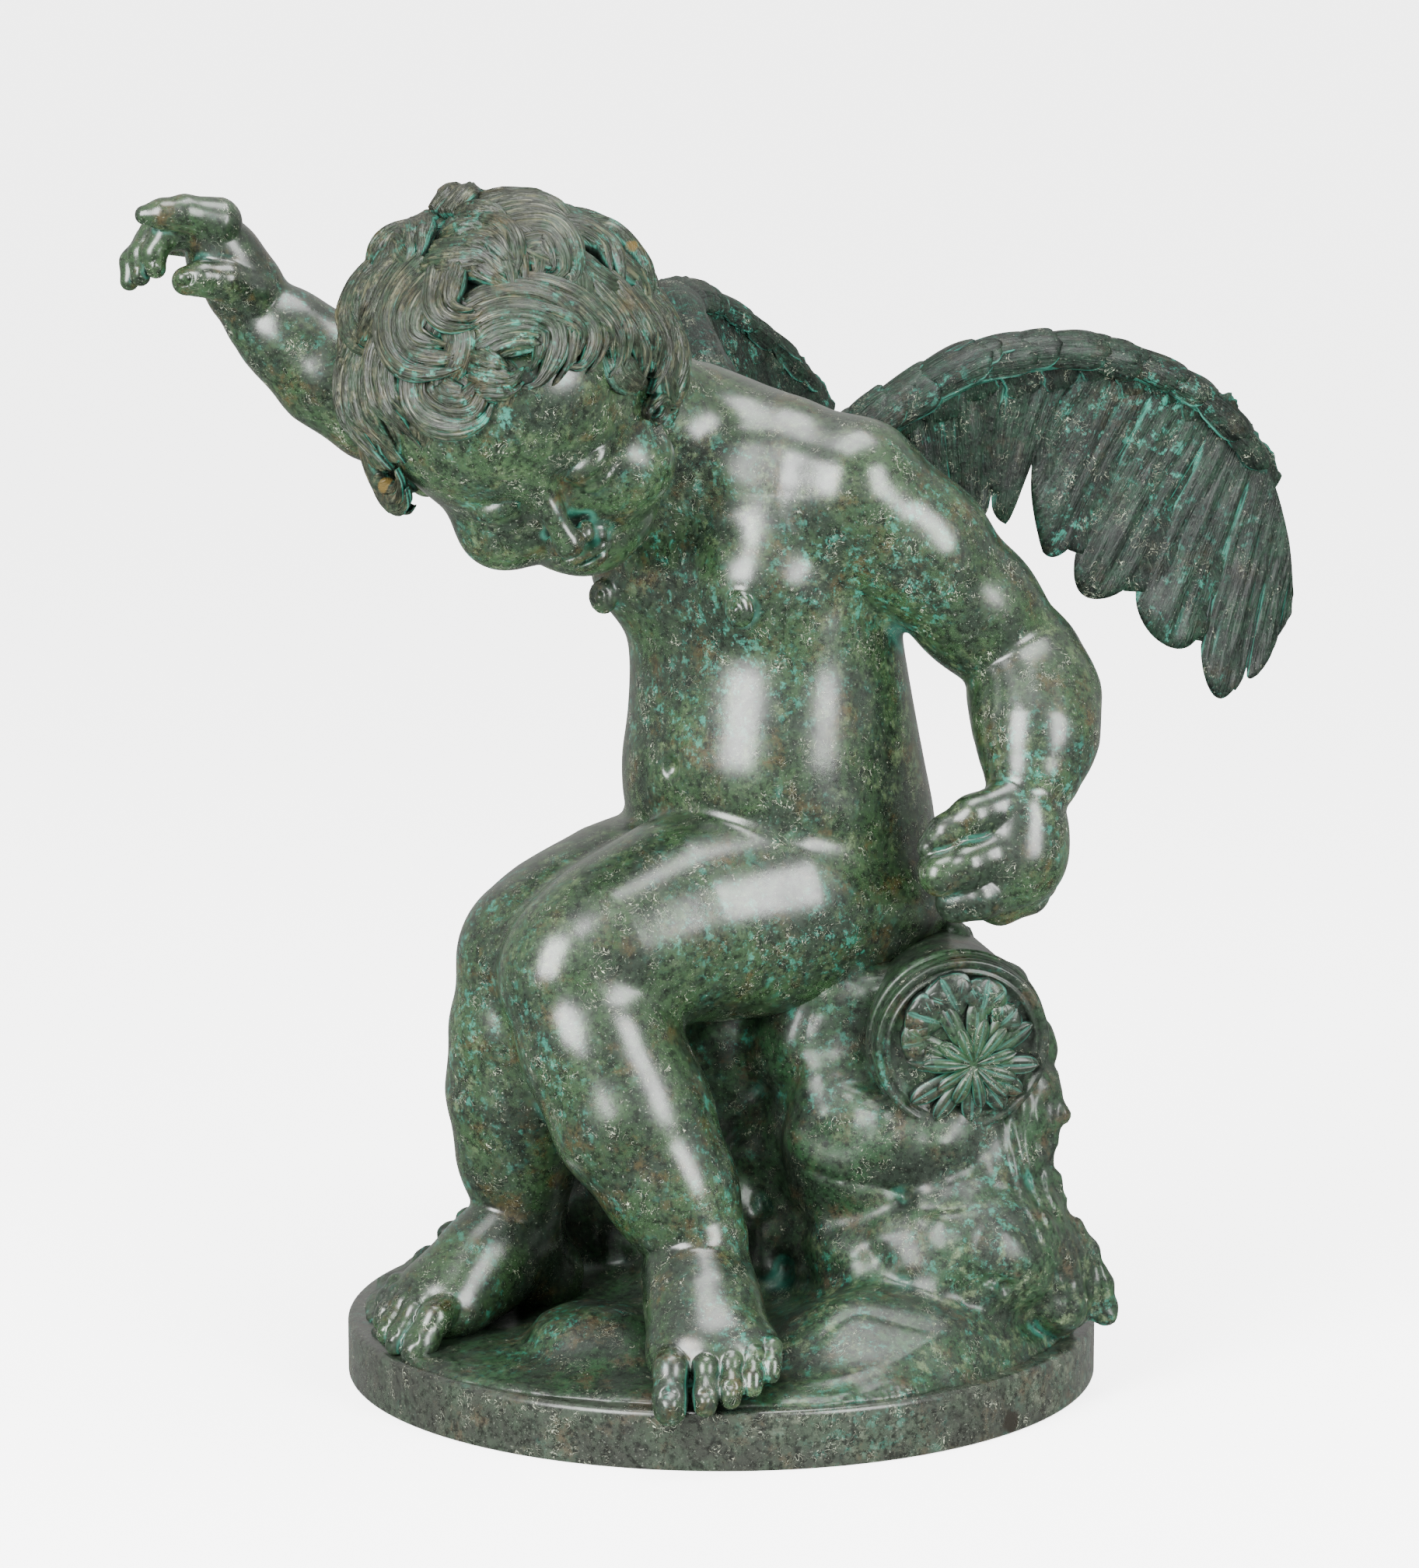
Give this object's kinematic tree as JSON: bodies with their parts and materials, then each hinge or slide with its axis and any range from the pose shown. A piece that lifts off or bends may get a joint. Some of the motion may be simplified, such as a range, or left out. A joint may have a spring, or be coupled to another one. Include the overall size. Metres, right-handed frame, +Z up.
{
  "type": "putto sculpture",
  "caption": "Bronze sculpture of a seated winged putto with lowered head and raised right hand, on a rock with a quiver, on a round plinth.",
  "frame": {"origin": "middle of the plinth's flat underside", "axes": "+Z up, -Y towards the show side, +X to the right as seen from the show side"},
  "size_m": [0.5595, 0.4866, 0.5546],
  "materials": {
    "bronze": "dark green and brown bronze patina with turquoise in the hollows, waxed to a half gloss"
  },
  "bodies": {
    "root": {"putto_sculpture": "bronze"}
  },
  "joints": []
}
